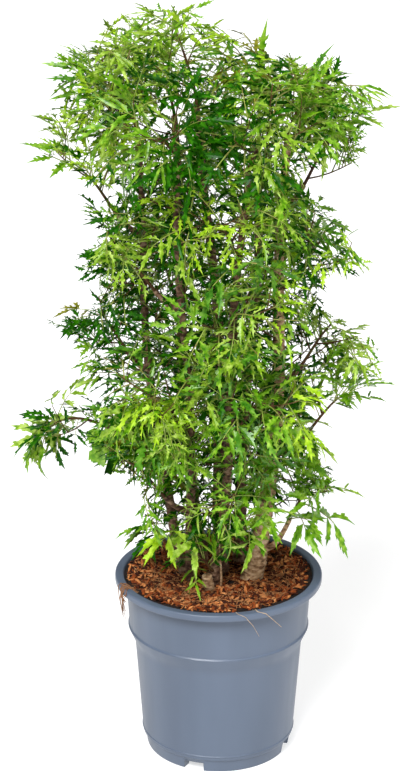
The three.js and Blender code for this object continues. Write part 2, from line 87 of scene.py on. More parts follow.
# Potting mix: its top, the loose layer on it, the chips as count, width for a length of 1, lengths and
# tilt, the share and colours of each brown, and the fibres.
SOIL_HEIGHT = 184
SOIL_LEVEL_RADIUS = 62
SOIL_RADIUS = 95
LOOSE_DEPTH = 0.8
LOOSE_EDGE_DEPTH = 4.2
LUMPS = (-1.8, 1.2)
BED_RINGS = 46
BED_STEPS = 120
CHIP_SORTS = [(2600, 0.34, (3, 15), 0.5), (200, 0.18, (12, 26), 0.14)]
CHIP_VARIANTS = 6
CHIP_CORNERS = 6
CHIP_BROWNS = {
    "dark": (0.4, [(36, 12, 3), (84, 34, 8)]),
    "middle": (0.36, [(104, 43, 10), (154, 76, 28)]),
    "pale": (0.24, [(176, 98, 44), (218, 150, 92)]),
}
FIBRE_COUNT = 800
FIBRE_LENGTHS = (9, 30)
FIBRE_RADII = (0.42, 0.2)
FIBRE_BEND = 0.35
FIBRE_LIFT = 0.18
FIBRE_STEPS = 6

# Strands over the rim: the tuft's number, bearings in degrees, radii, starts in from the bed's edge and
# drops below the lip, and the pale fibres' bearing, drop, slant and radius.
TUFT_COUNT = 14
TUFT_BEARINGS = (-160, -154)
TUFT_RADII = (0.35, 0.8)
TUFT_STARTS = (6, 18)
TUFT_DROPS = (4, 26)
RIM_FIBRES = [(-69, 15, 15, 0.5), (-80, 19, 12, 0.35)]
RIM_FIBRE_START = 12

# Stems: foot and top [x, y], height of the top, foot and tip radius, and the power of the lean. Boughs
# leave a stem at right angles to one of its flats in the solids.
STEM_SWAY = 6
STEM_FLATS = 8
STEM_STEPS = 260
STEM_SIDES = 20
STEM_SUNK = 3
ROOT_FLARE = 0.25
ROOT_FLARE_HEIGHT = 0.06
STEM_FOOT = SOIL_HEIGHT + 0.3
STEMS = {
    "right": ([31, -8], [64, -6], 640, 8.6, 3.4, 0.5),
    "front": ([-7, -22], [26, -64], 622, 5.2, 2.8, 0.8),
    "left": ([-30, 6], [-78, 6], 640, 5, 2.8, 0.5),
    "backLeft": ([-17, 34], [-44, 66], 645, 6, 3, 0.7),
    "backRight": ([21, 30], [38, 68], 640, 6, 3, 0.7),
    "centre": ([3, 7], [-22, 2], 668, 6.6, 3.2, 1.6),
    "frontLeft": ([-27, -14], [-40, -60], 625, 4.8, 2.7, 0.8),
}

# Limbs: stem, height on it (None for its top), tip, arch, share that is a bare bough, leaf length,
# and the style of the mass's sprays.
LIMBS = {
    "crown_apex": ("centre", None, [-42, -6, 744], 6, 0, 82, "loose"),
    "crown_right": ("right", None, [84, -14, 684], 12, 0, 96, "narrow"),
    "crown_left": ("left", None, [-104, -6, 682], 12, 0, 96, "outer"),
    "crown_front_right": ("front", None, [44, -94, 656], 12, 0, 96, "bronze"),
    "crown_front_left": ("frontLeft", None, [-58, -92, 660], 12, 0, 96, "dim"),
    "crown_back_left": ("backLeft", None, [-62, 92, 684], 12, 0, 96, "outer"),
    "crown_back_right": ("backRight", None, [50, 94, 684], 12, 0, 96, "outer"),
    "high_right": ("right", 576, [106, 8, 634], 12, 0.4, 94, "narrow"),
    "high_left": ("left", 545, [-130, -6, 608], 8, 0.45, 90, "loose"),
    "high_front": ("front", 545, [-4, -114, 586], 14, 0, 94, "front"),
    "high_back": ("backLeft", 540, [-8, 120, 592], 14, 0, 94, "outer"),
    "upper_right": ("right", 496, [100, -36, 552], 10, 0.4, 90, "front"),
    "upper_left": ("frontLeft", 485, [-98, -42, 542], 10, 0.4, 86, "shade"),
    "upper_front": ("front", 450, [12, -114, 500], 14, 0, 90, "front"),
    "upper_back_left": ("backLeft", 452, [-64, 106, 506], 14, 0, 90, "outer"),
    "upper_back_right": ("backRight", 458, [58, 108, 510], 14, 0, 90, "outer"),
    "middle_right": ("right", 396, [110, 6, 452], 6, 0.4, 90, "outer"),
    "middle_left": ("left", 408, [-118, 8, 464], 8, 0.42, 88, "shade"),
    "middle_front_left": ("frontLeft", 362, [-60, -104, 416], 14, 0, 90, "full"),
    "middle_front_right": ("front", 366, [42, -116, 414], 14, 0, 90, "front"),
    "middle_back": ("backLeft", 366, [-6, 124, 416], 14, 0, 90, "outer"),
    "lower_far_right": ("right", 322, [120, -8, 382], 6, 0.45, 82, "bold"),
    "lower_far_left": ("left", 328, [-172, -6, 344], 46, 0.5, 78, "sparse"),
    "lower_right": ("right", 220, [94, -18, 288], 24, 0.5, 80, "bold"),
    "lower_left": ("frontLeft", 268, [-88, -48, 328], 10, 0.4, 80, "full"),
    "lower_front": ("front", 276, [14, -108, 318], 14, 0, 70, "bold"),
    "lower_back_left": ("backLeft", 276, [-64, 98, 328], 14, 0, 88, "outer"),
    "lower_back_right": ("backRight", 282, [66, 94, 334], 14, 0, 88, "bold"),
    "basal_left": ("left", 214, [-66, 2, 236], 4, 0, 56, "basal"),
    "basal_front": ("front", 204, [-18, -50, 226], 6, 0, 70, "basal"),
}
BOUGH_RADII = (3.2, 2.2)
BOUGH_COLLAR = 0.35
BOUGH_COLLAR_SHARE = 0.12
BOUGH_STEPS = 40
BOUGH_SIDES = 14
LIMB_ROOT = 0.6
FIRST_STRETCH = 0.25
CREST_SHARE = 0.65
GOLDEN_ANGLE = math.radians(137.508)

# Bark: the ring scars' spacing, number, width, depth and turn from one to the next, the furrows' waves
# round a stem and their depth, and the depth of small knobs.
SCAR_SPACING = (6, 14)
SCAR_COUNT = 90
SCAR_WIDTH = 1.0
SCAR_DEPTH = 0.15
SCAR_TURN = 2.4
FURROW_WAVES = (3, 5, 8)
FURROW_DEPTH = 0.035
KNOB_DEPTH = 0.03
KNOB_COLUMNS = 64

# Seeds of the random draws. Stems, limbs and twigs count on from those of their kind.
SEEDS = {
    "mass": 1, "leaf": 7, "soil": 11, "stem": 100, "bough": 200, "stub": 300, "single": 500,
    "stem_twig": 600, "stem_mass": 700,
}
SEEDS_OF_A_STEM = 40

# Stub and dry twig in front of the clump: points from the soil's top on the axis, and radii.
STUB_ENDS = np.array([[-9, -34, -3], [-12, -40, 19]])
STUB_RADII = (6.4, 4.6)
DRY_TWIG_CURVE = np.array([[2, -30, -2], [4, -34, 22], [-1, -38, 42], [1, -40, 60]])
DRY_TWIG_RADII = (1.3, 0.7)

# Leaf masses: side twigs stand round the mass's twig, twiglets round each side twig, and leaves
# round the outer part of all of them, within a share of the leaf length from the mass's middle.
# Twigs are told by foot and tip radius, number of leaves, number of side twigs (None where the style
# of the mass gives it) and their length.
TWIGS = [
    ((1.8, 0.9), 7, None, 50),
    ((0.9, 0.55), 5, 2, 28),
    ((0.6, 0.4), 2, 0, 0),
]
SIDE_TWIG_ANGLE = math.radians(58)
TWIG_UPTURN = 0.25
TWIG_STEPS = 12
TWIG_OVERLAP = 0.03
BARE_TWIG = 0.35
LAST_LEAF = 0.98
MASS_MIDDLE = 0.6
LEAF_ANGLE = math.radians(52)
LONGEST_LEAF = 0.66
SHORTEST_LEAF = 0.36
LEAF_DROOPS = (0.05, 0.5)
LEAF_BANK = 0.6
SPACE_REACH = 0.96
LOWEST_LEAF = POT_HEIGHT + 2
TRIES = 20

# Sprays are lighter further out in the crown, partly as painted shade that deepens inside it and partly
# for the paler young leaves at its tips: its middle and reach, the share of the reach where tints come
# as often as the style says, and how fast they lighten from there.
CROWN_MIDDLE = np.array([0, 0, 430])
CROWN_REACH = np.array([150, 140, 320])
EVEN_LIGHT = 0.75
LIGHT_SLOPE = 0.7

# Short twigs round the stems, inside the crown: lowest height, step up the stem, length, leaf length,
# and in degrees the turn from stem to stem and the pitch.
STEM_TWIG_LOWEST = 262
STEM_TWIG_STEP = 46
STEM_TWIG_LENGTH = 50
STEM_TWIG_LEAF = 66
STEM_TWIG_TURN = 50
STEM_TWIG_PITCHES = (5, 40)

# Single leaves on stems and limbs, apart from those of the masses. For each stem or limb that carries
# some: kind, tint, height on the stem or share of the limb, heading and pitch in degrees, length and
# droop.
SINGLE_LEAVES = [
    ("frontLeft", ("broad", "lime", 252, -130, 8, 62, 0.4), ("broad", "fresh", 248, -84, 10, 60, 0.4),
     ("broad", "mid", 254, -40, 4, 52, 0.4), ("lance", "fresh", 206, -80, 0, 42, 0.4)),
    ("left", ("broad", "mid", 240, 190, 10, 54, 0.4), ("broad", "deep", 234, 214, 2, 46, 0.4)),
    ("lower_right", ("broad", "mid", 0.7, -25, -5, 66, 0.5), ("broad", "mid", 0.62, -75, 5, 56, 0.5),
     ("lance", "fresh", 0.98, 6, 8, 52, 0.4)),
    ("right", ("cut", "mid", 300, -100, -30, 50, 0.4)),
    ("lower_far_left", ("round", "mid", 0.52, -112, -48, 44, 0.25),
     ("round", "deep", 0.47, -84, -58, 44, 0.25), ("cut", "mid", 0.56, 165, 48, 36, 0.4),
     ("cut", "deep", 0.64, 190, 62, 34, 0.4), ("cut", "deep", 0.72, 245, -50, 34, 0.4),
     ("cut", "mid", 0.97, 186, -34, 46, 0.3), ("broad", "mid", 0.98, 200, -68, 54, 0.2),
     ("fine", "mid", 0.3, 220, 35, 50, 0.4), ("fine", "mid", 0.36, 200, 50, 52, 0.4),
     ("cut", "deep", 0.44, 150, 60, 50, 0.4), ("broad", "deep", 0.9, 280, -70, 44, 0.3)),
    ("crown_left", ("cut", "mid", 0.98, 180, 40, 64, 0.12), ("lance", "mid", 0.9, 195, 20, 54, 0.4),
     ("cut", "mid", 0.9, 165, 58, 66, 0.3)),
    ("high_right", ("cut", "fresh", 0.98, 0, 60, 72, 0.6), ("cut", "mid", 0.75, -15, 10, 40, 0.3),
     ("lance", "fresh", 0.88, -5, 8, 38, 0.25)),
    ("crown_right", ("lance", "mid", 0.98, 5, 24, 72, 0.4)),
    ("crown_apex", ("cut", "fresh", 0.98, -165, 40, 48, 0.15), ("cut", "mid", 0.98, 15, 52, 42, 0.2)),
    ("middle_front_left", ("fine", "lime", 0.98, -95, 5, 50, 0.35),
     ("cut", "lime", 0.95, -140, 5, 48, 0.35), ("fine", "lime", 0.9, -50, 5, 50, 0.35),
     ("cut", "lime", 0.78, -72, 0, 46, 0.4)),
    ("middle_left", ("cut", "bronze", 0.98, 175, 16, 42, 0.3)),
    ("frontLeft", ("fine", "lime", 598, -125, 20, 56, 0.4), ("fine", "lime", 590, -85, 12, 54, 0.4)),
    ("crown_back_right", ("strap", "mid", 0.4, 112, 80, 72, -0.12)),
    ("high_left", ("cut", "mid", 0.98, 178, 30, 66, 0.12), ("cut", "mid", 0.96, 192, 48, 58, 0.2),
     ("cut", "deep", 0.8, 166, 64, 56, 0.4)),
    ("left", ("cut", "mid", 350, 190, 25, 60, 0.4), ("fine", "mid", 370, 216, 20, 60, 0.4),
     ("cut", "deep", 388, 174, 20, 58, 0.4), ("fine", "mid", 336, 226, 15, 58, 0.4)),
    ("frontLeft", ("fine", "deep", 356, 196, 15, 60, 0.4)),
    ("lower_right", ("broad", "mid", 0.5, -60, 35, 56, 0.4)),
    ("right", ("broad", "mid", 330, -50, 10, 60, 0.4), ("broad", "fresh", 346, -20, 0, 58, 0.4)),
    ("lower_far_right", ("broad", "mid", 0.98, 5, 32, 50, 0.3), ("broad", "mid", 0.9, -20, 50, 52, 0.3),
     ("lance", "mid", 0.96, 15, 5, 50, 0.3)),
    ("crown_right", ("strap", "mid", 0.98, 28, 64, 56, 0.5), ("strap", "deep", 0.94, 40, 74, 50, 0.5),
     ("strap", "mid", 0.9, 20, 48, 58, 0.4), ("strap", "blue", 0.96, 60, 80, 46, 0.4)),
    ("backLeft", ("cut", "deep", 262, -70, 12, 62, 0.4), ("fine", "deep", 290, -110, 16, 64, 0.4),
     ("cut", "deep", 244, -150, 14, 58, 0.4)),
    ("backRight", ("fine", "deep", 256, -100, 14, 62, 0.4), ("cut", "deep", 286, -60, 16, 62, 0.4),
     ("cut", "deep", 302, -130, 10, 62, 0.4)),
    ("centre", ("fine", "mid", 262, -100, 14, 58, 0.4), ("cut", "deep", 288, -20, 14, 60, 0.4),
     ("cut", "mid", 276, -170, 14, 58, 0.4)),
    ("middle_front_left", ("cut", "lime", 0.98, -80, -14, 44, 0.3),
     ("fine", "lime", 0.96, -60, -8, 46, 0.35), ("fine", "lime", 0.98, -112, -10, 46, 0.3),
     ("cut", "lime", 0.9, -92, -4, 50, 0.3)),
    ("left", ("cut", "deep", 262, -60, 8, 56, 0.4)),
    ("backLeft", ("fine", "deep", 226, -100, 16, 50, 0.3)),
    ("backRight", ("cut", "deep", 232, -80, 14, 54, 0.3)),
    ("centre", ("fine", "deep", 240, -60, 12, 52, 0.3)),
    ("backRight", ("cut", "deep", 270, -170, 10, 58, 0.4)),
]

# The crown's outline as x and height on the upright plane through the pot's axis, as seen by an eye
# in front of the plant and above it, clockwise from the top. The sky shows in its bays, between sprays.
EYE = np.array([-18.8, -2000, 1118])
OUTLINE = np.array([
    [-33, 768], [15, 748], [39, 746], [46, 726], [75, 720], [117, 718], [122, 700], [168, 682],
    [156, 656], [140, 622], [121, 610], [80, 594], [109, 574], [131, 554], [152, 516], [147, 504],
    [107, 497], [95, 478], [108, 466], [142, 454], [175, 404], [168, 384], [140, 364], [95, 354],
    [106, 328], [129, 284], [108, 266], [113, 228], [80, 194], [-60, 194], [-98, 230], [-80, 262],
    [-86, 286], [-112, 304], [-150, 340], [-168, 320], [-196, 286], [-217, 316], [-206, 348], [-184, 372],
    [-138, 398], [-153, 438], [-179, 460], [-156, 468], [-118, 474], [-120, 490], [-149, 508], [-141, 526],
    [-117, 540], [-140, 558], [-130, 584], [-138, 606], [-193, 624], [-180, 652], [-161, 676], [-166, 703],
    [-153, 729], [-113, 751], [-66, 765],
], float)

# Camera at the eye, from the ellipses of the rim and the foot in a picture of 400 by 771 pixels.
CAMERA_PITCH = math.radians(20)
FOCAL_PIXELS = 2163
LONG_SIDE_PIXELS = 771
SENSOR = 36

# Lights: heading that the light comes from, height above the floor, spread (all in degrees), strength.
# The floor's reach is in metres.
LIGHTS = {
    "key": (-112, 47, 24, 4.0),
    "fill": (-40, 44, 50, 1.1),
    "back": (75, 60, 60, 0.9),
}
WORLD_STRENGTH = 0.16
WHITE = (1, 1, 1, 1)
FLOOR_REACH = 30
FLOOR_GREY = 0.5
FLOOR_GLOW = 0.6


# Random draws, vectors and joined meshes

def draws(kind, number=0):
    return np.random.default_rng(SEEDS[kind] + number)


def lerp(a, b, t):
    return a + (b - a) * t


def unit(v):
    return v / np.linalg.norm(v, axis=-1, keepdims=True)


def turned(v, axis, angle):
    """v turned about a unit axis."""
    c, s = math.cos(angle), math.sin(angle)
    return v * c + np.cross(axis, v) * s + axis * np.dot(axis, v) * (1 - c)


def direction_off(axis, angle, roll):
    """A direction at an angle to an axis, turned about it by roll."""
    level = unit(np.cross((0.2, 0.1, 1.0), axis))
    return turned(turned(axis, level, angle), axis, roll)


def direction_to(heading, pitch):
    """A direction from a heading and a pitch in degrees."""
    h, p = math.radians(heading), math.radians(pitch)
    return np.array([math.cos(h) * math.cos(p), math.sin(h) * math.cos(p), math.sin(p)])


def frame_of(heading, pitch, roll):
    """Columns along, across and up, after a roll, a pitch up and a heading to the left."""
    ch, sh = math.cos(heading), math.sin(heading)
    cp, sp = math.cos(pitch), math.sin(pitch)
    cr, sr = math.cos(roll), math.sin(roll)
    yaw = np.array([[ch, -sh, 0], [sh, ch, 0], [0, 0, 1]])
    lift = np.array([[cp, 0, -sp], [0, 1, 0], [sp, 0, cp]])
    bank = np.array([[1, 0, 0], [0, cr, -sr], [0, sr, cr]])
    return yaw @ lift @ bank


def ring_angles(steps):
    return np.arange(steps) * 2 * math.pi / steps


def round_axis(radius, angles, height):
    """Points at a radius, an angle and a height round the pot's axis."""
    return np.stack([radius * np.cos(angles), radius * np.sin(angles), height], -1)


def new_object(name, data):
    obj = bpy.data.objects.new(name, data)
    bpy.context.scene.collection.objects.link(obj)
    return obj


class Shape:
    """Points and triangles that grow as parts are added."""

    def __init__(self, *parts):
        self.points = []
        self.triangles = []
        self.count = 0
        for part in parts:
            self.add(*part)

    def add(self, points, triangles):
        points = np.asarray(points, float).reshape(-1, 3)
        self.points.append(points)
        self.triangles.append(np.asarray(triangles, int).reshape(-1, 3) + self.count)
        self.count += len(points)

    def add_copies(self, copies, triangles):
        """copies is an array of (copies, points, 3) of one part."""
        starts = np.arange(len(copies)) * copies.shape[1]
        self.add(copies.reshape(-1, 3), (triangles[None] + starts[:, None, None]).reshape(-1, 3))

    def arrays(self):
        return np.concatenate(self.points), np.concatenate(self.triangles)

    def piece(self, name, material, slot, nodes=()):
        """The joined mesh as a piece that rides on the plant and stands for some nodes."""
        points, triangles = self.arrays()
        mesh = bpy.data.meshes.new(name)
        mesh.from_pydata((points * MM + POT_AXIS).tolist(), [], triangles.tolist(), shade_flat=False)
        mesh.materials.append(material)
        obj = new_object(name, mesh)
        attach(obj, "root")
        if nodes:
            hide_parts(*nodes)


def grid_triangles(rows, columns):
    """Triangles of a grid of points whose columns close into rings."""
    r, c = np.meshgrid(np.arange(rows - 1), np.arange(columns), indexing="ij")
    a = r * columns + c
    b = r * columns + (c + 1) % columns
    return np.stack([a, b, b + columns, a, b + columns, a + columns], -1).reshape(-1, 3)


def tube(path, radii, sides, relief=None):
    """A closed tapering tube along a path. relief(ring, angles) scales the radius."""
    path = np.asarray(path, float)
    along = unit(np.gradient(path, axis=0))
    angles = ring_angles(sides)
    cos, sin = np.cos(angles)[:, None], np.sin(angles)[:, None]
    across = np.array([0.3, 1.0, 0.2])
    rings = []
    for i, (centre, direction) in enumerate(zip(path, along)):
        across = unit(across - direction * np.dot(across, direction))
        up = np.cross(direction, across)
        reach = radii[i] * (relief(i, angles) if relief else np.ones(sides))
        rings.append(centre + reach[:, None] * (cos * across + sin * up))
    points = np.concatenate(rings + [path[:1], path[-1:]])
    last, foot, tip = (len(path) - 1) * sides, len(path) * sides, len(path) * sides + 1
    s = np.arange(sides)
    after = (s + 1) % sides
    foot_fan = np.stack([np.full(sides, foot), after, s], -1)
    tip_fan = np.stack([np.full(sides, tip), last + s, last + after], -1)
    return points, np.concatenate([grid_triangles(len(path), sides), foot_fan, tip_fan])


def station(path, share):
    """The place and direction at a share of the way along a path."""
    steps = len(path) - 1
    i = min(int(share * steps), steps - 1)
    return lerp(path[i], path[i + 1], share * steps - i), unit(path[i + 1] - path[i])


# Materials

# Most values of a noise lie in its range. Roughness spreads to both sides of its middle, and bumps are
# finer than patches of colour.
NOISE_RANGE = (0.3, 0.7)
ROUGHNESS_SPREAD = 0.08
BUMP_FINENESS = 5


def set_inputs(node, values):
    for name, value in values.items():
        node.inputs[name].default_value = value


def new_node(tree, kind, values):
    node = tree.nodes.new("ShaderNode" + kind)
    set_inputs(node, values)
    return node


def new_material(name, roughness, specular=0.5):
    """A material with its node tree and shader."""
    material = bpy.data.materials.new(name)
    material.use_nodes = True
    shader = material.node_tree.nodes["Principled BSDF"]
    set_inputs(shader, {"Roughness": roughness, "Specular IOR Level": specular})
    return material, material.node_tree, shader


def noise(tree, scale, detail, stretch=(1, 1, 1)):
    """Noise in the object's own metres, drawn out along an axis where stretch is under 1."""
    place = new_node(tree, "TexCoord", {})
    mapping = new_node(tree, "Mapping", {"Scale": stretch})
    texture = new_node(tree, "TexNoise", {"Scale": scale, "Detail": detail})
    tree.links.new(place.outputs["Object"], mapping.inputs["Vector"])
    tree.links.new(mapping.outputs["Vector"], texture.inputs["Vector"])
    return texture.outputs["Fac"]


def linear(red, green, blue):
    """A screen colour from 0 to 255 as linear light."""
    return tuple(
        c / 12.92 if c <= 0.04045 else ((c + 0.055) / 1.055) ** 2.4
        for c in (red / 255, green / 255, blue / 255)
    )


def add_colour(tree, shader, value, places, colours):
    """Screen colours at places along a value."""
    ramp = new_node(tree, "ValToRGB", {})
    elements = ramp.color_ramp.elements
    while len(elements) < len(colours):
        elements.new(0.5)
    for element, place, colour in zip(elements, places, colours):
        element.position = place
        element.color = (*linear(*colour), 1)
    tree.links.new(value, ramp.inputs["Fac"])
    tree.links.new(ramp.outputs["Color"], shader.inputs["Base Color"])


def add_bump(tree, shader, value, strength, distance):
    bump = new_node(tree, "Bump", {"Strength": strength, "Distance": distance})
    tree.links.new(value, bump.inputs["Height"])
    tree.links.new(bump.outputs["Normal"], shader.inputs["Normal"])


def add_roughness(tree, shader, value, low, high):
    least, most = NOISE_RANGE
    limits = {"From Min": least, "From Max": most, "To Min": low, "To Max": high}
    spread = new_node(tree, "MapRange", limits)
    tree.links.new(value, spread.inputs["Value"])
    tree.links.new(spread.outputs["Result"], shader.inputs["Roughness"])


def mottled(name, colours, scale, roughness, bump, specular=0.5):
    """A material whose colour wanders evenly between a few, with bump and roughness to match."""
    material, tree, shader = new_material(name, roughness, specular)
    patches = noise(tree, scale, 4.0)
    add_colour(tree, shader, patches, np.linspace(*NOISE_RANGE, len(colours)), colours)
    add_roughness(tree, shader, patches, roughness - ROUGHNESS_SPREAD, roughness + ROUGHNESS_SPREAD)
    add_bump(tree, shader, noise(tree, scale * BUMP_FINENESS, 3.0), *bump)
    return material


# Tints of the leaves as sheen and colours, from the dark ones inside the crown, dark as painted shade, to
# the young ones at its tips. The palest colours of mid, fresh and lime are partly painted highlight.
LEAF_TINTS = {
    "deep": (0.1, [(6, 50, 0), (26, 84, 0), (58, 122, 4)]),
    "blue": (0.4, [(34, 92, 6), (70, 124, 20), (112, 158, 50)]),
    "bronze": (0.3, [(72, 84, 4), (106, 110, 16), (142, 138, 38)]),
    "mid": (0.3, [(50, 104, 0), (98, 148, 14), (152, 188, 60)]),
    "fresh": (0.3, [(86, 130, 6), (128, 164, 36), (178, 202, 98)]),
    "lime": (0.25, [(112, 158, 4), (150, 190, 28), (186, 216, 74)]),
}
STALK_COLOURS = [(116, 152, 44), (152, 170, 74), (144, 120, 66)]
TWIG_COLOURS = [(60, 38, 24), (90, 62, 38), (84, 80, 32)]

# Styles of a mass: shares of the tints in their order, shares of the kinds of leaf, and the number of
# side twigs. The dark styles, such as inner, shade, dim and bronze, give darker leaves as painted shade
# in the crown's hollow and on its left.
STYLES = {
    "outer": ((0.26, 0.06, 0.04, 0.36, 0.24, 0.04), {"fine": 0.45, "cut": 0.35, "lance": 0.2}, 5),
    "front": ((0.2, 0.1, 0, 0.36, 0.3, 0.04), {"fine": 0.4, "cut": 0.4, "lance": 0.15, "broad": 0.05}, 4),
    "inner": ((0.7, 0.06, 0, 0.24, 0, 0), {"fine": 0.5, "cut": 0.5}, 0),
    "full": ((0.34, 0.06, 0.04, 0.4, 0.16, 0), {"fine": 0.5, "cut": 0.4, "lance": 0.1}, 9),
    "loose": ((0.06, 0.06, 0.06, 0.36, 0.4, 0.06), {"fine": 0.4, "cut": 0.25, "lance": 0.35}, 3),
    "shade": ((0.64, 0.06, 0.04, 0.2, 0.06, 0), {"fine": 0.4, "cut": 0.4, "lance": 0.2}, 4),
    "dim": ((0.82, 0.04, 0.02, 0.12, 0, 0), {"fine": 0.4, "cut": 0.4, "lance": 0.2}, 4),
    "bronze": ((0.56, 0.06, 0.07, 0.25, 0.06, 0), {"fine": 0.45, "cut": 0.4, "lance": 0.15}, 5),
    "narrow": ((0.22, 0.06, 0.04, 0.38, 0.26, 0.04), {"fine": 0.3, "cut": 0.2, "lance": 0.5}, 5),
    "sparse": ((0.54, 0, 0, 0.4, 0.06, 0), {"cut": 0.4, "broad": 0.6}, 2),
    "bold": ((0.12, 0, 0, 0.54, 0.3, 0.04), {"fine": 0.1, "cut": 0.4, "lance": 0.1, "broad": 0.4}, 3),
    "basal": ((0.7, 0, 0, 0.3, 0, 0), {"lance": 0.4, "cut": 0.6}, 2),
}


def leaf_material(tint):
    sheen, colours = LEAF_TINTS[tint]
    return mottled("leaf_" + tint, colours, 160, 0.34, (0.2, 0.0006), specular=sheen)


# Pot

def rounded(corners, steps=5):
    """A profile of (radius, height, rounding) corners with each rounding drawn as a curve."""
    points = []
    for i, (r, z, rounding) in enumerate(corners):
        corner = np.array([r, z], float)
        if rounding == 0 or i in (0, len(corners) - 1):
            points.append(corner)
            continue
        before = corner + unit(np.array(corners[i - 1][:2], float) - corner) * rounding
        after = corner + unit(np.array(corners[i + 1][:2], float) - corner) * rounding
        for t in np.linspace(0, 1, steps):
            points.append(lerp(lerp(before, corner, t), lerp(corner, after, t), t))
    return np.array(points)


def pot_corners():
    """The profile from under the floor, up the outside, over the rim and down the inside."""
    body, body_foot = BODY_FOOT
    collar, collar_foot = COLLAR_FOOT
    inner_foot, outer_foot = FOOT_RADII
    ridge = lerp(body, BODY_TOP[0], (RIDGE_HEIGHT - body_foot) / (BODY_TOP[1] - body_foot))
    return [
        (0, FLOOR_UNDERSIDE, 0),
        (inner_foot, FLOOR_UNDERSIDE, 0.6),
        (inner_foot, 0, 1),
        (outer_foot, 0, 1.2),
        (body - FOOT_STEP[0], body_foot - FOOT_STEP[1], 0.6),
        (body, body_foot, 0.8),
        (ridge - 0.1, RIDGE_HEIGHT - 1, 0.2),
        (ridge + RIDGE_PROUD, RIDGE_HEIGHT - 0.4, 0.3),
        (ridge + RIDGE_PROUD, RIDGE_HEIGHT + 0.4, 0.3),
        (ridge, RIDGE_HEIGHT + 1, 0.2),
        (*BODY_TOP, 5),
        (collar + COLLAR_BEAD, collar_foot - 0.4, 0.6),
        (collar + COLLAR_BEAD, collar_foot + 0.2, 0.2),
        (collar + 0.1, collar_foot + 1.8, 0.4),
        (COLLAR_TOP_RADIUS, LIP_FOOT, 1),
        (POT_RADIUS, LIP_FOOT, 1.4),
        (POT_RADIUS, POT_HEIGHT, 2.2),
        (MOUTH_RADIUS, POT_HEIGHT, 1.6),
        (COLLAR_TOP_RADIUS - WALL, POT_HEIGHT - MOUTH_DEPTH, 0),
        (collar - WALL, collar_foot, 0),
        (0, collar_foot, 0),
    ]


def pot_material():
    """Grey-blue plastic, lighter and darker in faint upright streaks, with fine scuffs."""
    material, tree, shader = new_material("pot_plastic", 0.42)
    upright_streaks = noise(tree, 14, 3.0, (1, 1, 0.25))
    add_colour(tree, shader, upright_streaks, (0.3, 0.5, 0.72), [(77, 88, 106), (84, 96, 114), (91, 103, 122)])
    add_roughness(tree, shader, noise(tree, 45, 5.0, (1, 1, 0.15)), 0.34, 0.5)
    add_bump(tree, shader, noise(tree, 420, 2.0), 0.08, 0.0004)
    return material


def pot_piece():
    """The pot turned about its axis, with gaps cut in its foot ring."""
    profile = rounded(pot_corners())
    gap = math.asin(FOOT_GAP_WIDTH / 2 / FOOT_RADII[1])
    middles = FIRST_GAP_BEARING + ring_angles(FOOT_COUNT)
    edges = [m + side * (gap + shift) for m in middles for side in (-1, 1) for shift in (0, GAP_EDGE)]
    angles = np.sort(np.mod(np.concatenate([ring_angles(POT_STEPS), edges]), 2 * math.pi))
    in_gap = np.zeros(len(angles), bool)
    for m in middles:
        in_gap |= np.abs(np.angle(np.exp(1j * (angles - m)))) < gap + GAP_EDGE / 2
    radius = np.repeat(profile[:, :1], len(angles), 1)
    height = np.repeat(profile[:, 1:], len(angles), 1)
    is_foot = (profile[:, 1] < FLOOR_UNDERSIDE)[:, None] & in_gap[None]
    height = np.where(is_foot, FLOOR_UNDERSIDE, height)
    pot = Shape((round_axis(radius, angles, height), grid_triangles(len(profile), len(angles))))
    pot.piece("pot_shell", pot_material(), "pot", ["pot"])


# Potting mix

def soil_height(radius):
    """The height of the loose top layer on the plug, which rises a little to the rim."""
    slope = np.clip((radius - SOIL_LEVEL_RADIUS) / (SOIL_RADIUS - SOIL_LEVEL_RADIUS), 0, 1)
    return SOIL_HEIGHT + lerp(LOOSE_DEPTH, LOOSE_EDGE_DEPTH, slope)


def soil_bed(random):
    """A lumpy top on the plug of potting mix."""
    radius = np.linspace(0.5, SOIL_RADIUS, BED_RINGS)[:, None] * np.ones(BED_STEPS)
    height = soil_height(radius) + random.uniform(*LUMPS, radius.shape)
    points = round_axis(radius, ring_angles(BED_STEPS), height)
    bed = Shape((points, grid_triangles(BED_RINGS, BED_STEPS)))
    material = mottled("soil_bed", [(8, 4, 1), (24, 10, 3), (50, 22, 7)], 260, 0.92, (0.9, 0.002))
    bed.piece("soil_bed", material, "soil", ["soil"])


def chip_shape(random, width):
    """One flat splinter of bark for a length of 1 along x: an uneven outline with two faces."""
    angles = ring_angles(CHIP_CORNERS) + random.uniform(-0.3, 0.3, CHIP_CORNERS)
    reach = random.uniform(0.7, 1.1, CHIP_CORNERS)
    outline = np.stack([0.5 * reach * np.cos(angles), width / 2 * reach * np.sin(angles)], -1)
    thick = random.uniform(0.1, 0.22) * width
    top = np.column_stack([outline * 0.85, random.uniform(0.6, 1.2, CHIP_CORNERS) * thick])
    under = np.column_stack([outline, random.uniform(-1.2, -0.6, CHIP_CORNERS) * thick])
    fan = np.array([[0, k, k + 1] for k in range(1, CHIP_CORNERS - 1)])
    triangles = [grid_triangles(2, CHIP_CORNERS), fan + CHIP_CORNERS, fan[:, ::-1]]
    return np.concatenate([under, top]), np.concatenate(triangles)


def scattered_places(random, count, edge):
    """Places spread evenly over the bed as far as an edge."""
    radius = edge * np.sqrt(random.uniform(0, 1, count))
    angle = random.uniform(0, 2 * math.pi, count)
    return round_axis(radius, angle, soil_height(radius))


def lay_chips(chips, random, count, width, length_range, tilt):
    """Copies of one chip, lying at random on the bed."""
    points, triangles = chip_shape(random, width)
    lengths = random.uniform(*length_range, count)
    places = scattered_places(random, count, SOIL_RADIUS - lengths * 0.4)
    places[:, 2] += random.uniform(0, 2.2, count)
    turns = np.array([
        frame_of(random.uniform(0, 2 * math.pi), random.normal(0, tilt), random.normal(0, tilt))
        for _ in range(count)
    ])
    copies = np.einsum("nij,pj->npi", turns, points) * lengths[:, None, None]
    chips.add_copies(copies + places[:, None], triangles)


